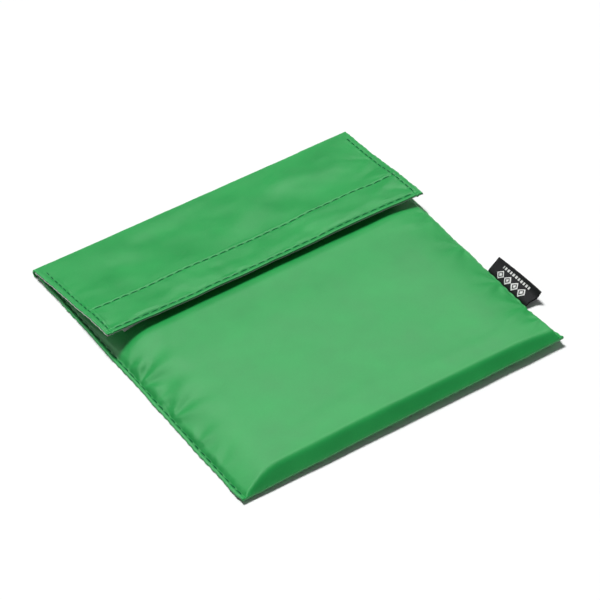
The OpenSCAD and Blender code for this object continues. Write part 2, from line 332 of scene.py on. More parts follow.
def flap_top(x, y):
    """Top of the flap: a plane, lifted at its front left corner and low at its front right."""
    out = (CREST_Y - y) / (CREST_Y - FLAP_FRONT)
    lifted, dropped = np.clip((-x - 20) / 70, 0, 1), np.clip((x - 45) / 45, 0, 1)
    twist = 1.5 * lifted ** 1.6 - 1.5 * dropped ** 1.5
    belly = 0.5 * np.sin(np.pi * np.clip(out, 0, 1)) * (1 - (x / HALF_W) ** 2)
    shape = flap_plane(y) + twist * ease(out * 1.05) + belly + crest_lift(x) * (1 - ease(out))

    calm = ease((CREST_Y - y) / 14)
    even = 0.35 + 0.65 * ease((y - FLAP_FRONT) / 16)
    shape += calm * even * (1.15 * noise(x, y, 27, 41) + 0.52 * noise(x, y, 13, 42))
    shape += 0.10 * noise(x, y, 6, 45) * calm
    between = ease((REAR_ROW - y) / 3) * ease((y - FRONT_ROW) / 3)
    shape += between * (0.24 + 0.40 * ripples(x, y, 8, 30, 46) + 0.18 * noise(x, y, 5, 47))
    beside = np.clip(FLAP_ROW - np.abs(x), 0, None)
    gathers = 0.55 * ripples(y, np.abs(x), 3.9, 9, 51) * np.exp(-beside / 3.5) * ease(beside / 1.2)
    shape += gathers * calm
    shape += calm * sum(h * crease(x, y, at, a, l, w) for at, a, l, w, h in FLAP_CREASES)

    shape += sewn(np.abs(x) - FLAP_ROW, y - FLAP_FRONT, SIDE_PITCH, 0.42) * calm
    shape += 0.20 * bump(y - FLAP_FRONT - 0.6, 0.45) - 0.14 * bump(y - FLAP_FRONT - 1.4, 0.35)
    inside = ease((HALF_W - np.abs(x)) / 3)
    for row in (FRONT_ROW, REAR_ROW):
        shape += sewn(y - row, x + HALF_W, ROW_PITCH) * inside
    edge = np.abs(x) - (HALF_W - 1.2)
    shape += 0.24 * ripples(y, x * 0, 4.0, 9, 61) * ease(edge / 1.2) * calm
    return shape


def crest_wave(x):
    """Small bumps of the crest fold, outwards."""
    return 0.16 * ripples(x, x * 0, 7.5, 9, 71) + 0.07 * ripples(x, x * 0, 2.6, 9, 72)


# ---- mesh building

def spaced(*stops):
    """Positions from the first stop to the last. Stops alternate with the step in between."""
    out = [stops[0]]
    for start, step, end in zip(stops[0::2], stops[1::2], stops[2::2]):
        count = max(1, round(abs(end - start) / step))
        out += [start + (end - start) * (i + 1) / count for i in range(count)]
    return np.array(out, float)


def rolled(line, edge, radius, turn, tail=0.0, tail_step=1.0):
    """A grid line that goes on round an edge: positions, and how far each drops in the roll."""
    turned = np.radians(np.linspace(0, turn, 8)[1:])
    toward = 1 if edge > line[0] else -1
    place = [line, edge - toward * radius * (1 - np.sin(turned))]
    drop = [line * 0, radius * (1 - np.cos(turned))]
    if tail:
        under = np.arange(tail_step, tail + tail_step / 2, tail_step)
        place.append(edge - toward * (radius + under))
        drop.append(under * 0 + 2 * radius)
    return np.concatenate(place), np.concatenate(drop)


def both_ways(places, drops):
    """Mirrors a line that starts at the middle, so that it runs from edge to edge."""
    return np.concatenate([-places[:0:-1], places]), np.concatenate([drops[:0:-1], drops])


def grid_normals(points):
    """Unit normals at the points of a grid."""
    down = np.gradient(points, axis=0)
    across = np.gradient(points, axis=1)
    normal = np.cross(across, down)
    return normal / np.maximum(np.linalg.norm(normal, axis=2, keepdims=True), 1e-9)


def arc_lengths(points):
    """Place of each grid point on the flat cloth, measured along the middle row and column."""
    rows, columns = points.shape[:2]
    across = points[rows // 2]
    down = points[:, columns // 2]

    def run(line):
        return np.concatenate([[0], np.cumsum(np.linalg.norm(np.diff(line, axis=0), axis=1))])

    u, v = np.meshgrid(run(across), run(down))
    return np.stack([u - u.max() / 2, v, u * 0], axis=2)


def new_piece(name, points, faces, material, cloth=None, normals=None, wear_and_highlight=None):
    """Object from points in mm. cloth is each point's place on the flat cloth, and the paleness is 0
    to 1: abraded edges, and a painted highlight.
    """
    mesh = bpy.data.meshes.new(name)
    mesh.from_pydata((np.asarray(points) * MM).tolist(), [], faces)
    mesh.update()
    mesh.polygons.foreach_set("use_smooth", np.ones(len(mesh.polygons), bool))
    if cloth is not None:
        place = mesh.attributes.new("cloth", "FLOAT_VECTOR", "POINT")
        place.data.foreach_set("vector", (np.asarray(cloth) * MM).astype(np.float32).ravel())
    if wear_and_highlight is not None:
        worn_and_highlit = mesh.attributes.new("wear_and_highlight", "FLOAT", "POINT")
        worn_and_highlit.data.foreach_set("value", np.asarray(wear_and_highlight).astype(np.float32))
    if normals is not None:
        mesh.normals_split_custom_set_from_vertices(np.asarray(normals).tolist())
    piece = bpy.data.objects.new(name, mesh)
    bpy.context.scene.collection.objects.link(piece)
    piece.data.materials.append(material)
    return piece


def sheet_faces(rows, columns):
    """Faces of a closed thin sheet whose points are an outside grid, then an inside grid."""
    index = np.arange(rows * columns).reshape(rows, columns)
    corners = index[:-1, :-1], index[:-1, 1:], index[1:, 1:], index[1:, :-1]
    quads = np.stack(corners, axis=2).reshape(-1, 4)
    rim = np.concatenate([index[0, :], index[1:, -1], index[-1, -2::-1], index[-2:0:-1, 0]])
    deep = rim + rows * columns
    edge = np.stack([rim, deep, np.roll(deep, -1), np.roll(rim, -1)], axis=1)
    return quads.tolist() + (quads[:, ::-1] + rows * columns).tolist() + edge.tolist()


def shell(name, points, thickness, material, normals=None, cloth=None, wear_and_highlight=None):
    """Closed thin sheet: the grid is its outside, and its inside lies a thickness deeper."""
    rows, columns = points.shape[:2]
    normals = grid_normals(points) if normals is None else normals
    cloth = arc_lengths(points) if cloth is None else cloth
    wear_and_highlight = np.zeros((rows, columns)) if wear_and_highlight is None else wear_and_highlight
    inside = points - normals * thickness
    return new_piece(
        name,
        np.concatenate([points.reshape(-1, 3), inside.reshape(-1, 3)]),
        sheet_faces(rows, columns),
        material,
        cloth=np.tile(cloth.reshape(-1, 3), (2, 1)),
        normals=np.concatenate([normals.reshape(-1, 3), -normals.reshape(-1, 3)]),
        wear_and_highlight=np.tile(wear_and_highlight.ravel(), 2),
    )


def tube(points, radius, sides=8, taper=None):
    """Vertices and faces of a tube along points, closed at both ends."""
    points = np.asarray(points, float)
    run = np.gradient(points, axis=0)
    run /= np.linalg.norm(run, axis=1, keepdims=True)
    up = np.tile([0.0, 0.0, 1.0], (len(points), 1))
    side = np.cross(run, up)
    side /= np.maximum(np.linalg.norm(side, axis=1, keepdims=True), 1e-6)
    up = np.cross(side, run)
    size = np.full(len(points), radius) * (1 if taper is None else taper)
    angle = np.linspace(0, 2 * np.pi, sides, endpoint=False)
    ring = np.cos(angle)[None, :, None] * side[:, None] + np.sin(angle)[None, :, None] * up[:, None]
    verts = (points[:, None] + ring * size[:, None, None]).reshape(-1, 3)
    faces = []
    for i in range(len(points) - 1):
        for k in range(sides):
            a, b = i * sides + k, i * sides + (k + 1) % sides
            faces.append([a, b, b + sides, a + sides])
    faces.append(list(range(sides))[::-1])
    faces.append([(len(points) - 1) * sides + k for k in range(sides)])
    return verts, faces


def joined(parts):
    """One vertex and face list from several."""
    verts, faces, start = [], [], 0
    for part_verts, part_faces in parts:
        verts.append(part_verts)
        faces += [[i + start for i in face] for face in part_faces]
        start += len(part_verts)
    return np.concatenate(verts), faces


def normal_of(height, x, y):
    """Unit normals of the surface z = height(x, y)."""
    step = 0.4
    slope_x = (height(x + step, y) - height(x - step, y)) / (2 * step)
    slope_y = (height(x, y + step) - height(x, y - step)) / (2 * step)
    n = np.stack([-slope_x, -slope_y, slope_x * 0 + 1], axis=-1)
    return n / np.linalg.norm(n, axis=-1, keepdims=True)


def stitches(path, length, pitch, seed, above=1, radius=THREAD_R, keep=lambda point: True):
    """A row of stitches. path(s) gives points and normals at distances s along the row.

    above is -1 for stitches on the underside, and keep chooses them by their middle.
    """
    rng = np.random.default_rng(seed)
    count = int(length // pitch)
    start = (length - count * pitch) / 2
    parts = []
    t = np.linspace(0, 1, 9)
    for i in range(count):
        s = start + i * pitch + STITCH_GAP / 2 + (pitch - STITCH_GAP) * t
        points, normals = path(s)
        rise = (0.30 * (1 - (2 * t - 1) ** 4) - 0.16) * above
        sway = rng.uniform(-0.07, 0.07) * (2 * t - 1)
        side = np.cross(normals, np.gradient(points, axis=0))
        side /= np.linalg.norm(side, axis=1, keepdims=True)
        centre = points + normals * rise[:, None] + side * sway[:, None]
        if keep(centre[len(t) // 2]):
            size = 0.82 + 0.18 * np.sin(np.pi * t) + rng.uniform(-0.04, 0.04)
            parts.append(tube(centre, radius, taper=size))
    return joined(parts)


# ---- materials

def add(tree, kind, **values):
    """New node. Each value sets a property, or else the input socket of that name."""
    node = tree.nodes.new(kind)
    for key, value in values.items():
        if key in node.bl_rna.properties:
            setattr(node, key, value)
        else:
            node.inputs[key.replace("_", " ")].default_value = value
    return node


def math_node(tree, operation, a, b=None):
    """Math node. a and b are sockets or numbers."""
    node = tree.nodes.new("ShaderNodeMath")
    node.operation = operation
    for socket, value in zip(node.inputs, (a, b)):
        if isinstance(value, bpy.types.NodeSocket):
            tree.links.new(value, socket)
        elif value is not None:
            socket.default_value = value
    return node.outputs[0]


def new_material(name, **sockets):
    material = bpy.data.materials.new(name)
    material.use_nodes = True
    tree = material.node_tree
    shader = tree.nodes["Principled BSDF"]
    for key, value in sockets.items():
        shader.inputs[key.replace("_", " ")].default_value = value
    return material, tree, shader


def cloth_place(tree):
    """Place on the flat cloth, so that the weave follows every fold."""
    return add(tree, "ShaderNodeAttribute", attribute_name="cloth").outputs["Vector"]


def noise_of(tree, place, size_mm, detail=3.0):
    """Noise texture whose patches are about size_mm across."""
    node = add(tree, "ShaderNodeTexNoise", Scale=1 / (size_mm * MM), Detail=detail, Roughness=0.55)
    tree.links.new(place, node.inputs["Vector"])
    return node.outputs["Fac"]


def plain_weave(tree, place, pitch_mm):
    """Height of a plain weave: warp over weft, then weft over warp."""
    split = add(tree, "ShaderNodeSeparateXYZ")
    tree.links.new(place, split.inputs[0])
    u = math_node(tree, "MULTIPLY", split.outputs["X"], 1 / (pitch_mm * MM))
    v = math_node(tree, "MULTIPLY", split.outputs["Y"], 1 / (pitch_mm * MM))

    def thread(t):
        wave = math_node(tree, "SINE", math_node(tree, "MULTIPLY", t, math.pi))
        return math_node(tree, "ABSOLUTE", wave)

    sum_of = math_node(tree, "ADD", math_node(tree, "FLOOR", u), math_node(tree, "FLOOR", v))
    over = math_node(tree, "PINGPONG", sum_of, 1.0)
    warp = math_node(tree, "MULTIPLY", thread(u), over)
    weft = math_node(tree, "MULTIPLY", thread(v), math_node(tree, "SUBTRACT", 1.0, over))
    return math_node(tree, "ADD", warp, weft)


def add_bumps(tree, shader, layers):
    """Chains bump nodes. Each layer is a height socket, its depth in mm and a strength."""
    last = None
    for height, depth_mm, strength in layers:
        node = add(tree, "ShaderNodeBump", Strength=strength, Distance=depth_mm * MM)
        tree.links.new(height, node.inputs["Height"])
        if last is not None:
            tree.links.new(last, node.inputs["Normal"])
        last = node.outputs["Normal"]
    tree.links.new(last, shader.inputs["Normal"])


def ramp(tree, fac, *stops):
    """Color ramp. Each stop is a position and a color."""
    node = tree.nodes.new("ShaderNodeValToRGB")
    elements = node.color_ramp.elements
    while len(elements) < len(stops):
        elements.new(0.5)
    for element, (place, color) in zip(elements, stops):
        element.position = place
        element.color = (*color, 1)
    tree.links.new(fac, node.inputs["Fac"])
    return node.outputs["Color"]


def mix(tree, fac, a, b):
    """Mix of two colors."""
    node = tree.nodes.new("ShaderNodeMix")
    node.data_type = "RGBA"
    for key, value in (("Factor", fac), ("A", a), ("B", b)):
        socket = node.inputs[key]
        if isinstance(value, bpy.types.NodeSocket):
            tree.links.new(value, socket)
        else:
            socket.default_value = value
    return node.outputs["Result"]


CLOTH_WEAVE_MM, LABEL_WEAVE_MM = 0.32, 0.26


def coated_cloth(name, dark, light, worn_and_highlit):
    """Green taffeta with a thin coating: fine weave, slight mottling, paler at abraded edges and along
    a painted highlight on the bottom fold's lower edge.
    """
    material, tree, shader = new_material(name, Specular_IOR_Level=0.5)
    place = cloth_place(tree)
    patches = noise_of(tree, place, 24, 2.0)
    specks = noise_of(tree, place, 1.1, 2.0)
    tone = math_node(tree, "ADD", math_node(tree, "MULTIPLY", patches, 0.75),
                     math_node(tree, "MULTIPLY", specks, 0.25))
    color = ramp(tree, tone, (0.28, dark), (0.72, light))
    # Pale green mixed in by the point attribute: abraded edges, and a painted highlight along the
    # bottom fold's lower edge.
    edge_wear_and_highlight = add(tree, "ShaderNodeAttribute", attribute_name="wear_and_highlight").outputs["Fac"]
    amount = math_node(tree, "MULTIPLY", edge_wear_and_highlight, math_node(tree, "MULTIPLY", specks, 0.9))
    tree.links.new(mix(tree, amount, color, (*worn_and_highlit, 1)), shader.inputs["Base Color"])
    gloss = math_node(tree, "ADD", math_node(tree, "MULTIPLY", patches, 0.16), 0.36)
    tree.links.new(gloss, shader.inputs["Roughness"])
    add_bumps(tree, shader, [
        (noise_of(tree, place, 9, 4.0), 0.22, 0.35),
        (noise_of(tree, place, 2.4, 3.0), 0.05, 0.35),
        (plain_weave(tree, place, CLOTH_WEAVE_MM), 0.035, 0.30),
    ])
    return material


def film(name):
    """White lining film: smooth, faintly crinkled."""
    material, tree, shader = new_material(name, Roughness=0.38, Specular_IOR_Level=0.45)
    place = cloth_place(tree)
    crinkle = noise_of(tree, place, 7, 5.0)
    color = ramp(tree, noise_of(tree, place, 16, 2.0),
                 (0.3, (0.58, 0.59, 0.57)), (0.7, (0.70, 0.71, 0.69)))
    tree.links.new(color, shader.inputs["Base Color"])
    add_bumps(tree, shader, [
        (crinkle, 0.18, 0.4),
        (plain_weave(tree, place, CLOTH_WEAVE_MM), 0.02, 0.25),
    ])
    return material


def thread_material(name):
    """Spun thread: twisted plies and a little fuzz."""
    material, tree, shader = new_material(
        name, Roughness=0.7, Sheen_Weight=0.05, Specular_IOR_Level=0.15)
    place = add(tree, "ShaderNodeTexCoord").outputs["Object"]
    twist = add(tree, "ShaderNodeTexWave", wave_type="BANDS", bands_direction="DIAGONAL",
                Scale=1 / (1.1 * MM), Distortion=1.5, Detail=1.0)
    tree.links.new(place, twist.inputs["Vector"])
    color = ramp(tree, twist.outputs["Fac"],
                 (0.2, (0.001, 0.070, 0.024)), (0.9, (0.004, 0.140, 0.048)))
    tree.links.new(color, shader.inputs["Base Color"])
    add_bumps(tree, shader, [
        (twist.outputs["Fac"], 0.07, 0.6),
        (noise_of(tree, place, 0.3), 0.03, 0.4),
    ])
    return material


def woven_tape(name, color, shade, fuzz):
    """White tape of the hook-and-loop closure. fuzz is the size of its tufts, in mm."""
    material, tree, shader = new_material(name, Roughness=0.75, Sheen_Weight=0.4)
    place = add(tree, "ShaderNodeTexCoord").outputs["Object"]
    tufts = noise_of(tree, place, fuzz, 4.0)
    tree.links.new(ramp(tree, tufts, (0.3, shade), (0.7, color)), shader.inputs["Base Color"])
    add_bumps(tree, shader, [(tufts, 0.25, 0.6), (noise_of(tree, place, 0.35), 0.06, 0.5)])
    return material


def satin(name, color, lighter):
    """Woven satin of the label: a fine pattern of threads with a soft gloss."""
    material, tree, shader = new_material(name, Roughness=0.6, Specular_IOR_Level=0.2)
    place = cloth_place(tree)
    weave = plain_weave(tree, place, LABEL_WEAVE_MM)
    tree.links.new(mix(tree, weave, (*color, 1), (*lighter, 1)), shader.inputs["Base Color"])
    add_bumps(tree, shader, [(weave, 0.05, 0.5), (noise_of(tree, place, 3), 0.08, 0.3)])
    return material


# The pale green stands for abraded cloth, and also for a painted highlight on the bottom fold.
GREEN = coated_cloth("green_taffeta", dark=(0.008, 0.270, 0.053), light=(0.014, 0.345, 0.070),
                     worn_and_highlit=(0.07, 0.48, 0.15))
WHITE_FILM = film("white_film")
THREAD = thread_material("green_thread")
LOOP_WHITE = woven_tape("loop_tape_white", (0.72, 0.73, 0.70), (0.50, 0.51, 0.48), 0.7)
HOOK_WHITE = woven_tape("hook_tape_white", (0.74, 0.75, 0.72), (0.60, 0.61, 0.58), 1.6)
LABEL_BLACK = satin("label_black", (0.006, 0.006, 0.007), (0.016, 0.016, 0.018))
LABEL_WHITE = satin("label_white", (0.62, 0.62, 0.61), (0.85, 0.85, 0.84))


# ---- pieces

def point(x, y, z=0.0):
    return Vector((x, y, z)) * MM


def bend_front(piece, side):
    """Bakes the place of one half of the front into its mesh; nothing lifts or bends it here."""
    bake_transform(piece)


def bend_crest(piece):
    """Bakes the place of cloth that goes round the crest fold into its mesh; nothing turns it with the
    flap here.
    """
    point(0, CREST_Y, 0.2)
    point(0, CREST_Y, CREST_Z + 1.2)
    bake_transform(piece)


def halves(columns):
    """Name, side and columns of a grid's two halves, which share the middle column."""
    middle_column = columns // 2
    return (("left", -1, slice(0, middle_column + 1)),
            ("right", 1, slice(middle_column, None)))


def front_panel_grid():
    """Outside of the front cloth, from under the bottom fold to under the mouth's turned edge."""
    line = spaced(0, 1.25, 82, 0.4, HALF_W - SEAM_T / 2)
    xs, x_drop = both_ways(*rolled(line, HALF_W, SEAM_T / 2, 115))
    fold_angles = np.radians(np.linspace(275, 135, 17))
    lip = 0.3 * bump(np.degrees(fold_angles) - 222, 15)[:, None]
    start = FOLD_Y + FOLD_R * math.cos(fold_angles[-1])
    line = spaced(start + 0.3, 0.55, start + 14, 1.2, 24, 1.7, 73, 0.5, MOUTH_Y - 0.35)
    ys, y_drop = rolled(line, MOUTH_Y, 0.35, 180, tail=MOUTH_HEM, tail_step=1.3)
    x, y = np.meshgrid(xs, ys)
    z = panel_top(x, y) - np.maximum(x_drop[None, :], y_drop[:, None])
    z = np.maximum(z, lift(x, y) + CLOTH_T)
    radius = FOLD_R - np.minimum(x_drop, FOLD_R * 0.75)
    ring_x = np.tile(xs, (len(fold_angles), 1))
    ring_y = FOLD_Y + (radius[None, :] + lip) * np.cos(fold_angles)[:, None]
    ring_z = fold_height(ring_x) + (radius[None, :] + lip) * np.sin(fold_angles)[:, None]
    x, y, z = (np.concatenate(pair) for pair in ((ring_x, x), (ring_y, y), (ring_z, z)))
    side = np.sign(x)
    x = x + side * edge_wave(y, side) * near_side(x, 4)
    y = y - 0.12 * ripples(x, x * 0, 9, 9, 14) * bump(y - BOTTOM_Y, 4)
    return np.stack([x, y, z], axis=2)


def make_front_panel():
    points = front_panel_grid()
    normals = grid_normals(points)
    cloth = arc_lengths(points)
    edge_wear_and_highlight = 0.55 * near_side(points[..., 0], 1.6)
    # Paler line along the bottom fold's lower edge: a painted highlight where the crease catches the
    # light.
    edge_wear_and_highlight = np.maximum(edge_wear_and_highlight, 0.5 * bump(points[..., 1] - BOTTOM_Y, 0.8))
    for name, side, part in halves(points.shape[1]):
        piece = shell(f"front_panel_{name}", points[:, part], CLOTH_T, GREEN,
                      normals[:, part], cloth[:, part], edge_wear_and_highlight[:, part])
        bend_front(piece, side)
        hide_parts("front_panel", f"{name}_seam_allowance", "mouth_turned_edge")


def make_front_lining():
    """White film behind the front cloth, seen when the mouth gapes."""
    half = PANEL_HALF - 0.6
    line = spaced(0, 2.5, half - 8, 0.9, half)
    xs, _ = both_ways(line, line * 0)
    ys = spaced(FOLD_Y + 3.2, 1.4, FOLD_Y + 20, 3.0, MOUTH_Y - 0.6)
    x, y = np.meshgrid(xs, ys)
    z = panel_top(x, y) - STACK_T + 0.15 * noise(x, y, 12, 81) - 0.12
    points = np.stack([x, y, z], axis=2)[::-1]
    normals = grid_normals(points)
    for name, side, part in halves(points.shape[1]):
        piece = shell(f"front_lining_{name}", points[:, part], FILM_T, WHITE_FILM, normals[:, part])
        bend_front(piece, side)
        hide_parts("front_lining")


def make_back_panel():
    """Cloth that the pouch lies on. Its edges are turned in: inside the seams, then as a hem."""
    roll = 0.5
    line = spaced(0, 2.4, 80, 0.5, HALF_W - roll)
    xs, x_drop = both_ways(*rolled(line, HALF_W, roll, 180, tail=BACK_HEM, tail_step=0.4))
    ys = spaced(CREST_Y, 0.6, MOUTH_Y - 2, 2.2, FOLD_Y + LIFT_RUN, 0.9, FOLD_Y)
    x, y = np.meshgrid(xs, ys)
    in_seam = ease((MOUTH_Y + 1.5 - y) / 2.5)
    needled = 1 + 0.25 * pinch(y - ROW_START, ROW_PITCH)
    groove = 0.42 * bump(np.abs(x) - SEAM_ROW, 0.50) * needled
    from_edge = ease((HALF_W - np.abs(x)) / 6) * ease((CREST_Y - y) / 6)
    swell = 0.10 * (1 + noise(x, y, 22, 91)) * from_edge
    outside = groove * in_seam + swell
    turned_in = -groove * (1 - in_seam) + 0.25 * (1 - in_seam)
    z = lift(x, y) + x_drop[None, :] * (1 - 0.35 * in_seam)
    z += np.where(x_drop[None, :] < roll, outside, turned_in)
    inset = 0.16 + 0.45 * in_seam * ease(x_drop / roll)[None, :]
    side = np.sign(x)
    x = x + side * (edge_wave(y, side) * near_side(x, 4) - inset)
    points = np.stack([x, y, z], axis=2)
    edge_wear_and_highlight = 0.4 * near_side(x, 1.2)
    piece = shell("back_panel_cloth", points, CLOTH_T, GREEN, wear_and_highlight=edge_wear_and_highlight)
    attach(piece, "pocket")
    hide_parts("back_panel", "bottom_fold")


def make_back_lining():
    """White film on the inside of the back cloth."""
    half = PANEL_HALF - 0.4
    line = spaced(0, 2.6, half)
    xs, _ = both_ways(line, line * 0)
    ys = spaced(FOLD_Y + 3, 1.5, FOLD_Y + LIFT_RUN, 2.6, CREST_Y - 0.2)
    x, y = np.meshgrid(xs, ys)
    z = lift(x, y) + 0.72 + 0.12 * noise(x, y, 14, 95) + 0.08 * noise(x, y, 6, 96)
    piece = shell("back_lining_film", np.stack([x, y, z], axis=2), FILM_T, WHITE_FILM)
    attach(piece, "pocket")
    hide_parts("back_lining")


def flap_grid(inset, radius, tail, drop, ring_r, ring_inset=0.0):
    """Grid over the flap from under the crest fold to round its three free edges.

    inset and ring_inset draw its edges in, radius and tail shape the turned-in edges, drop is
    its depth under the flap's top, and ring_r is its radius round the crest fold.
    """
    line = spaced(0, 1.25, 82, 0.4, HALF_W - inset - radius)
    xs, x_drop = both_ways(*rolled(line, HALF_W - inset, radius, 180, tail=tail, tail_step=0.4))
    ring = np.radians(np.linspace(-92, 98, 15))[:, None]
    front = FLAP_FRONT + inset
    line = spaced(CREST_Y - 0.8, 1.3, 47, 0.45, 41, 1.1, 29, 0.4, front + radius)
    ys, y_drop = rolled(line, front, radius, 180, tail=tail, tail_step=0.4)
    x, y = np.meshgrid(xs, ys)
    z = flap_top(x, y) - drop - np.maximum(x_drop[None, :], y_drop[:, None])
    shrunk = ring_r - np.minimum(x_drop, ring_r * 0.7)
    ring_x = np.tile(xs, (len(ring), 1))
    wave = crest_wave(ring_x) * np.clip(np.cos(ring), 0, 1)
    ring_y = CREST_Y + shrunk[None, :] * np.cos(ring) + wave
    ring_z = CREST_Z + shrunk[None, :] * np.sin(ring)
    ring_z = ring_z + crest_lift(ring_x) * ease((np.sin(ring) + 1) / 2)
    ring_x = ring_x * (1 - ring_inset / HALF_W)
    x, y, z = (np.concatenate(pair) for pair in ((ring_x, x), (ring_y, y), (ring_z, z)))
    stray = 0.18 * ripples(y, x * 0 + np.sign(x) * 4, 4.2, 2, 63)
    stray = stray - 0.10 * pinch(y - FLAP_FRONT, SIDE_PITCH)
    x = x + np.sign(x) * stray * near_side(x, 3)
    x = x - 0.9 * bump(np.hypot(x + HALF_W, y - CREST_Y), 12)
    y = y + 0.10 * ripples(x, x * 0, 8, 9, 64) * ease((FLAP_FRONT + 2.5 - y) / 2.5)
    return np.stack([x, y, z], axis=2)


def make_flap_panel():
    """Green outside of the flap, paler along its abraded edges."""
    points = flap_grid(inset=0.0, radius=0.36, tail=FLAP_HEM, drop=0.0, ring_r=CREST_R)[:, ::-1]
    x, y = points[..., 0], points[..., 1]
    edge_wear_and_highlight = 0.6 * near_side(x, 1.2)
    edge_wear_and_highlight = np.maximum(edge_wear_and_highlight, 0.6 * ease((FLAP_FRONT + 1.0 - y) / 1.0))
    edge_wear_and_highlight = np.maximum(edge_wear_and_highlight, 0.35 * ease((y - CREST_Y - 0.3) / 0.8))
    piece = shell("flap_cloth", points, CLOTH_T, GREEN, wear_and_highlight=edge_wear_and_highlight)
    bend_crest(piece)
    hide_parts("flap_panel", "flap_turned_edges")


def make_flap_lining():
    """White film under the flap, seen when it is open."""
    points = flap_grid(inset=-0.12, radius=0.12, tail=0.4, drop=0.76, ring_r=CREST_R - 0.74,
                       ring_inset=1.0)[:, ::-1]
    piece = shell("flap_lining_film", points, 0.2, WHITE_FILM)
    bend_crest(piece)
    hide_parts("flap_lining")


make_front_panel()
make_front_lining()
make_back_panel()
make_back_lining()
make_flap_panel()
make_flap_lining()


# ---- thread

def finish_row(name, parts, node):
    """Object from the stitches of one row. The caller puts it on a body, or bakes it in place."""
    verts, faces = parts
    piece = new_piece(name, verts, faces, THREAD)
    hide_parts(node)
    return piece


def on_surface(height, to_xy, offset=0.0):
    """Path over a surface: to_xy turns distances along the row into x and y."""
    def path(s):
        x, y = to_xy(s)
        normal = normal_of(height, x, y)
        return np.stack([x, y, height(x, y)], axis=1) + normal * offset, normal
    return path


def make_seam_rows():
    """Side seams: a row on the front cloth and one under the back cloth, on both sides."""
    length = MOUTH_Y - ROW_START
    for name, side in SIDES:
        def along(s, side=side):
            return np.full(len(s), side * SEAM_ROW), ROW_START + s
        top = stitches(on_surface(panel_top, along), length, ROW_PITCH, 100 + side,
                       radius=SEAM_THREAD_R)
        under = stitches(on_surface(lambda x, y: lift(x, y) + 0.45, along), length, ROW_PITCH,
                         110 + side, above=-1, radius=UNDER_THREAD_R)
        piece = finish_row(f"seam_thread_{name}", joined([top, under]), f"stitches_seam_{name}")
        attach(piece, "pocket")


def make_flap_rows():
    """Rows of the hook tape across the flap, and rows along the flap's two side edges."""
    def under(x, y):
        return flap_top(x, y) - STACK_T

    reach = hook_high[0] - 0.5
    for name, row in (("front", FRONT_ROW), ("rear", REAR_ROW)):
        def across(s, row=row):
            return s - reach, np.full(len(s), row)
        top = stitches(on_surface(flap_top, across), 2 * reach, ROW_PITCH, 120)
        below = stitches(on_surface(under, across, -0.45), 2 * reach, ROW_PITCH, 121, above=-1)
        piece = finish_row(f"flap_thread_{name}", joined([top, below]), f"stitches_flap_{name}")
        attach(piece, "flap")
    start = FLAP_FRONT + 3.0
    for name, side in SIDES:
        def along(s, side=side):
            return np.full(len(s), side * FLAP_ROW), start + s
        length = CREST_Y - 3.5 - start
        top = stitches(on_surface(flap_top, along), length, SIDE_PITCH, 130 + side)
        below = stitches(on_surface(under, along), length, SIDE_PITCH, 140 + side, above=-1)
        piece = finish_row(f"flap_thread_{name}", joined([top, below]), f"stitches_flap_{name}")
        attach(piece, "flap")


def make_front_rows():
    """Rows of the mouth's hem and of the loop tape, each in a left and a right half."""
    def under(x, y):
        return panel_top(x, y) - STACK_T - 0.25

    mouth_reach = box_mm("stitches_mouth")[1][0] + 0.5
    loop_reach = loop_high[0] - 0.9
    on_tape = 0.4
    rows = (("mouth", mouth_reach, 0.0), ("loop_front", loop_reach, on_tape),
            ("loop_rear", loop_reach, on_tape))
    for name, reach, raised in rows:
        node = f"stitches_{name}"
        row = middle(node, 1)

        def across(s, row=row, reach=reach):
            return s - reach, np.full(len(s), row)
        for half, side in SIDES:
            def here(centre, side=side):
                return centre[0] * side > 0
            top = stitches(on_surface(panel_top, across, raised), 2 * reach, ROW_PITCH, 150, keep=here)
            inside = stitches(on_surface(under, across), 2 * reach, ROW_PITCH, 151, above=-1,
                              keep=here)
            piece = finish_row(f"{name}_thread_{half}", joined([top, inside]), node)
            bend_front(piece, side)


make_seam_rows()
make_flap_rows()
make_front_rows()


# ---- tapes

SELVEDGE_W = 1.8
LOOP_COUNT = 900
HOOK_PITCH = 1.45
HOOK_ROW_PITCH = 1.25


def tape_base(xs, ys, under, thickness, pile=None):
    """Ribbon of a closure tape. under is its lower face, and pile adds height on top."""
    x, y = np.meshgrid(xs, ys)
    z = under(x, y) + thickness + (0 if pile is None else pile(x, y))
    points = np.stack([x, y, z], axis=2)
    bottom = np.stack([x, y, under(x, y)], axis=2)
    return np.concatenate([points.reshape(-1, 3), bottom.reshape(-1, 3)]), sheet_faces(*x.shape)


def between_selvedges(y):
    """1 on the loop tape's nap and 0 on its two selvedges."""
    return ease((y - loop_low[1] - SELVEDGE_W) / 0.5) * ease((loop_high[1] - SELVEDGE_W - y) / 0.5)


def make_loop_tape():
    """Soft side of the closure, sewn to the front panel: a ribbon with a nap of small loops."""
    def under(x, y):
        return panel_top(x, y) + 0.03

    def nap(x, y):
        tufts = 0.26 * noise(x, y, 1.5, 201) + 0.16 * noise(x, y, 0.8, 202)
        return between_selvedges(y) * (0.34 + tufts)

    rng = np.random.default_rng(210)
    for name, side in SIDES:
        reach = loop_high[0]
        xs = np.sort(side * spaced(0, 0.7, reach))
        ys = spaced(loop_low[1], 0.6, loop_high[1])
        parts = [tape_base(xs, ys, under, 0.35, nap)]
        for _ in range(LOOP_COUNT):
            x0 = side * rng.uniform(0.5, reach - 1)
            y0 = rng.uniform(loop_low[1] + 2.2, loop_high[1] - 2.2)
            turn, size = rng.uniform(0, np.pi), rng.uniform(0.25, 0.5)
            t = np.linspace(0, np.pi, 6)
            x = x0 + size * np.cos(t) * math.cos(turn)
            y = y0 + size * np.cos(t) * math.sin(turn)
            z = under(x, y) + 0.5 + 0.42 * np.sin(t)
            parts.append(tube(np.stack([x, y, z], axis=1), 0.06, sides=3))
        verts, faces = joined(parts)
        piece = new_piece(f"loop_tape_{name}", verts, faces, LOOP_WHITE)
        bend_front(piece, side)
        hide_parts("loop_tape")


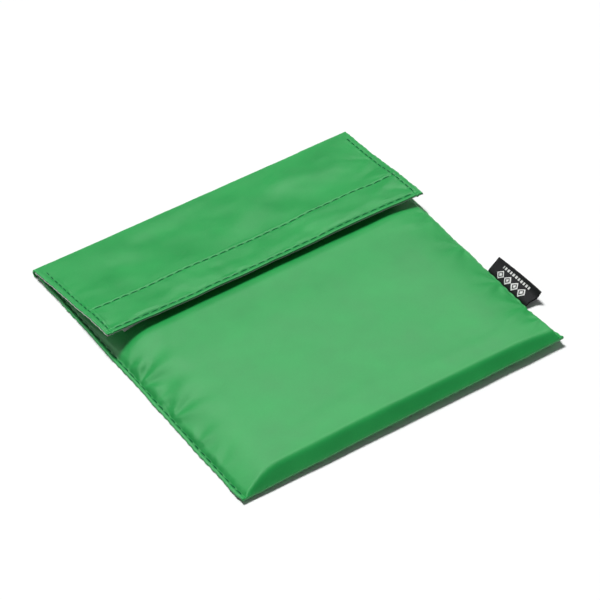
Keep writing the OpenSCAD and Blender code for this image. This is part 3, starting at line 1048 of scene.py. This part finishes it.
def make_hook_tape():
    """Stiff side of the closure, sewn under the flap: a ribbon with rows of small hooks."""
    thickness = 0.4

    def under(x, y):
        return flap_top(x, y) - STACK_T - 0.03 - thickness

    xs = spaced(hook_low[0], 1.2, hook_high[0])
    ys = spaced(hook_low[1], 0.9, hook_high[1])
    parts = [tape_base(xs, ys, under, thickness)]
    t = np.linspace(0, 1, 6)
    reach_down, curl = 0.55, 0.30
    row_places = np.arange(hook_low[1] + SELVEDGE_W + 0.5, hook_high[1] - SELVEDGE_W, HOOK_ROW_PITCH)
    for row, y0 in enumerate(row_places):
        lean = 1 if row % 2 else -1
        start = hook_low[0] + 1.0 + 0.35 * (row % 2)
        for x0 in np.arange(start, hook_high[0] - 0.8, HOOK_PITCH):
            x = x0 + t * 0
            y = y0 + lean * curl * np.clip(t * 1.6 - 0.6, 0, 1) ** 0.8
            z = under(x, y) - reach_down * np.sin(np.clip(t * 1.25, 0, 1.25) * np.pi / 2)
            parts.append(tube(np.stack([x, y, z], axis=1), 0.12, sides=4, taper=1.15 - 0.45 * t))
    verts, faces = joined(parts)
    piece = new_piece("hook_tape_ribbon", verts, faces, HOOK_WHITE)
    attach(piece, "flap")
    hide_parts("hook_tape")


make_loop_tape()
make_hook_tape()


# ---- label

LABEL_LEN = label_high[1] - label_low[1]
LABEL_REACH = math.hypot(label_high[0] - LABEL_X, label_high[2] - LABEL_Z) - 0.4
# Thickness, half the gap between the layers, length inside the seam, step of the grid
LABEL_T, LABEL_GAP, LABEL_ROOT, LABEL_GRID = 0.22, 0.42, 1.6, 0.24


def label_centre(s, v):
    """Middle line of the folded label: s runs outwards from the seam, v from its near end."""
    steps = np.linspace(0, 1, 25)
    bow = 0.45 * (1 - v) ** 1.5 + 0.10
    lean = 43 - 11 * (1 - v)
    reach = 0.91 + 0.26 * (1 - v)
    wave_length = LABEL_REACH + 1.2
    x, z = [], []
    for s_end, bow_here, lean_here in zip((s * reach).ravel(), bow.ravel(), lean.ravel()):
        run = s_end * steps
        tilt = np.radians(lean_here) + bow_here * np.cos(2 * np.pi * run / wave_length + 0.25)
        x.append(np.sum(np.cos(tilt)) * s_end / len(run))
        z.append(np.sum(np.sin(tilt)) * s_end / len(run))
    return np.reshape(x, s.shape), np.reshape(z, s.shape)


def woven_mark(s, y):
    """True where the label shows white threads: a plain border of squares and diamonds."""
    along = (y + LABEL_LEN / 2) / LABEL_LEN
    squares = (np.abs(s - 7.2) < 0.8) & (0.20 < along) & (along < 0.82) & ((y * 0.55) % 1 < 0.60)
    pitch, reach = 5.2, 10.4
    from_middle = np.abs(((y + reach) / pitch % 1) - 0.5) * pitch
    size = np.abs(s - 3.3) + from_middle
    diamonds = (np.abs(y) < reach) & (size < 2.4) & ~((size < 1.6) & (size > 0.9))
    return squares | diamonds


def on_label(table, s, v):
    """Value at s and v of a table laid evenly over the label."""
    rows, columns = table.shape
    from_s = np.clip(s, 0, LABEL_REACH) / LABEL_REACH * (columns - 1)
    from_v = v * (rows - 1)
    i = np.clip(from_s.astype(int), 0, columns - 2)
    j = np.clip(from_v.astype(int), 0, rows - 2)
    a, b = from_s - i, ease(from_v - j)
    near = table[j, i] * (1 - a) + table[j, i + 1] * a
    far = table[j + 1, i] * (1 - a) + table[j + 1, i + 1] * a
    return near * (1 - b) + far * b


def make_label():
    """Folded black ribbon in the right seam, with a plain geometric woven border."""
    outward = spaced(-LABEL_ROOT, LABEL_GRID, LABEL_REACH)
    tip = np.radians(np.linspace(0, 180, 9)[1:-1])
    layer = np.full(len(outward), LABEL_GAP)
    s_line = np.concatenate([outward, np.full(len(tip), LABEL_REACH), outward[::-1]])
    offset = np.concatenate([layer, LABEL_GAP * np.cos(tip), -layer])[None, :]
    beyond = np.concatenate([layer * 0, LABEL_GAP * np.sin(tip), layer * 0])[None, :]
    v_line = spaced(0, LABEL_GRID / LABEL_LEN, 1)
    s, v = np.meshgrid(s_line, v_line)
    coarse = np.meshgrid(np.linspace(0, LABEL_REACH, 24), np.linspace(0, 1, 9))
    centre_x, centre_z = label_centre(*coarse)

    x, z = on_label(centre_x, s, v), on_label(centre_z, s, v)
    step = 0.2
    dx = on_label(centre_x, s + step, v) - on_label(centre_x, s - step, v)
    dz = on_label(centre_z, s + step, v) - on_label(centre_z, s - step, v)
    size = np.maximum(np.hypot(dx, dz), 1e-6)
    dx, dz = dx / size, dz / size
    squeeze = ease((s + 0.2) / 2.0) * 0.75 + 0.25
    x = LABEL_X - 0.5 + x + np.minimum(s, 0) * 0.9 - dz * offset * squeeze + dx * beyond
    z = LABEL_Z - 0.45 + z + dx * offset * squeeze + dz * beyond
    y = LABEL_Y + (v - 0.5) * LABEL_LEN + 0.25 * np.sin(s * 0.5) * (1 - v)
    points = np.stack([x, y, z], axis=2)
    path = np.concatenate([[0], np.cumsum(np.hypot(np.diff(x[0]), np.diff(z[0])))])
    cloth = np.stack([np.tile(path, (len(v_line), 1)), y, y * 0], axis=2)
    piece = shell("seam_label", points, LABEL_T, LABEL_BLACK, cloth=cloth)
    piece.data.materials.append(LABEL_WHITE)
    rows, columns = s.shape
    face_s = (s[:-1, :-1] + s[1:, 1:]) / 2
    face_y = ((v[:-1, :-1] + v[1:, 1:]) / 2 - 0.5) * LABEL_LEN
    top = np.arange(columns - 1)[None, :] < len(outward) - 1
    white = (woven_mark(face_s, face_y) & top).ravel()
    index = np.zeros(len(piece.data.polygons), np.int32)
    index[: len(white)] = white
    piece.data.polygons.foreach_set("material_index", index)
    point(LABEL_X - 0.8, LABEL_Y, LABEL_Z)
    point(LABEL_X + 1.2, LABEL_Y, LABEL_Z)
    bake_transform(piece)
    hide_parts("label")


make_label()


# ---- floor, lights, camera

def make_floor():
    bpy.ops.mesh.primitive_plane_add(size=8, location=(0, 0, -0.00002))
    floor = bpy.context.object
    floor.name = "floor"
    material, _, shader = new_material("white_floor", Roughness=0.9, Specular_IOR_Level=0.1)
    shader.inputs["Base Color"].default_value = (0.94, 0.94, 0.94, 1)
    floor.data.materials.append(material)


def towards(azimuth, elevation):
    """Unit vector from the object towards something at an azimuth and elevation, in degrees."""
    a, e = math.radians(azimuth), math.radians(elevation)
    return Vector((math.sin(a) * math.cos(e), -math.cos(a) * math.cos(e), math.sin(e)))


def aim(thing, direction, distance, target=(0, 0, 0)):
    """Puts a lamp or the camera at a distance from its target, looking at it."""
    thing.location = Vector(target) + direction * distance
    thing.rotation_euler = (-direction).to_track_quat("-Z", "Y").to_euler()


SUN_PLACE, SUN_DISTANCE = (185, 69), 2.0
SUN_ENERGY, SUN_ANGLE = 3.2, 15
SOFTBOX_PLACE, SOFTBOX_DISTANCE = (181, 63), 1.8
SOFTBOX_ENERGY, SOFTBOX_SIZE = 46, (3.5, 1.1)
SKY_COLOR, SKY_STRENGTH = (0.96, 0.98, 1.0, 1), 0.14


def new_lamp(light, place, distance):
    lamp = bpy.data.objects.new(light.name, light)
    bpy.context.scene.collection.objects.link(lamp)
    aim(lamp, towards(*place), distance)
    return lamp


def make_lights():
    """Sun that gives the shading, softbox that gives only the sheen, and a weak sky."""
    key = bpy.data.lights.new("key_sun", "SUN")
    key.energy, key.angle = SUN_ENERGY, math.radians(SUN_ANGLE)
    new_lamp(key, SUN_PLACE, SUN_DISTANCE).visible_glossy = False

    back = bpy.data.lights.new("back_softbox", "AREA")
    back.shape, back.energy = "RECTANGLE", SOFTBOX_ENERGY
    back.size, back.size_y = SOFTBOX_SIZE
    new_lamp(back, SOFTBOX_PLACE, SOFTBOX_DISTANCE).visible_diffuse = False

    world = bpy.data.worlds.new("studio")
    bpy.context.scene.world = world
    world.use_nodes = True
    sky = world.node_tree.nodes["Background"]
    sky.inputs["Color"].default_value = SKY_COLOR
    sky.inputs["Strength"].default_value = SKY_STRENGTH


CAMERA_AZIMUTH, CAMERA_ELEVATION = -34.23, 43.91
CAMERA_DISTANCE, CAMERA_LENS = 1.5803, 200.2
CAMERA_TARGET = (0.005, 0.0042, 0.0)


def make_camera():
    data = bpy.data.cameras.new("camera")
    data.lens, data.sensor_width = CAMERA_LENS, 36.0
    camera = bpy.data.objects.new("camera", data)
    bpy.context.scene.collection.objects.link(camera)
    aim(camera, towards(CAMERA_AZIMUTH, CAMERA_ELEVATION), CAMERA_DISTANCE, CAMERA_TARGET)
    bpy.context.scene.camera = camera


make_floor()
make_lights()
make_camera()
bpy.context.scene.view_settings.view_transform = "Standard"
